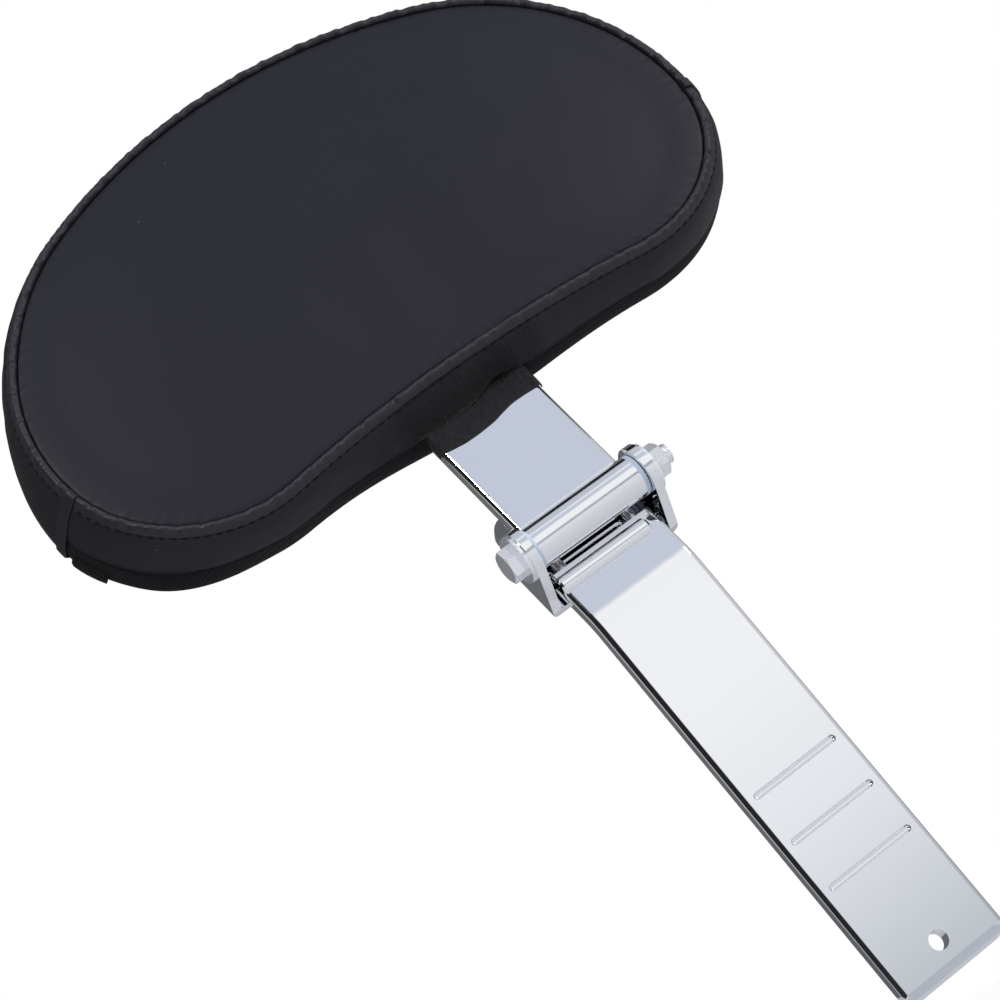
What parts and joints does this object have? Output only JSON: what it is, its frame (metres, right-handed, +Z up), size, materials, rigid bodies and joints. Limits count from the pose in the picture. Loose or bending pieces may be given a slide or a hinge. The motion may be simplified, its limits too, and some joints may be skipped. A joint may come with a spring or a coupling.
{
  "type": "motorcycle folding backrest",
  "caption": "Folding rider's backrest: a chrome flat-bar post with height notches, a bolted hinge, a chrome blade and a kidney-shaped padded vinyl backrest.",
  "frame": {"origin": "middle of the retaining hole near the lower end of the post, at the post's mid-thickness", "axes": "+Z up the straight part of the post, -Y the way the front of the pad faces, +X along the hinge towards its nut"},
  "size_m": [0.327, 0.0835, 0.4758],
  "materials": {
    "chrome": "polished",
    "plated_steel": "bright zinc plated",
    "nylon": "smooth",
    "plywood": "bare",
    "foam": "open cell",
    "vinyl": "satin",
    "textile": "woven"
  },
  "bodies": {
    "mount_post": {"post": "chrome", "bead": "chrome", "hinge_bracket": "chrome", "hinge_bolt": "plated_steel", "head_washer": "plated_steel", "nut_washer": "plated_steel", "hinge_nut": "plated_steel", "stop_screw_left": "plated_steel", "stop_screw_right": "plated_steel"},
    "backrest": {"knuckle_tube": "chrome", "stop_lug": "chrome", "bush_left": "nylon", "bush_right": "nylon", "upper_blade": "chrome", "backing_board": "plywood", "tee_nuts": "plated_steel", "pad_screws": "plated_steel", "foam_core": "foam", "back_foam": "foam", "front_panel": "vinyl", "seam_welt": "vinyl", "boxing": "vinyl", "back_band": "textile", "back_panel": "textile", "strap_left": "vinyl", "strap_right": "vinyl", "tab_left": "textile", "tab_right": "textile"}
  },
  "joints": [
    {"name": "backrest_fold", "type": "hinge", "parent": "mount_post", "child": "backrest", "pos_m": [0, -0.00286, 0.21094], "axis": [1, 0, 0], "range_deg": [0, 100]}
  ]
}
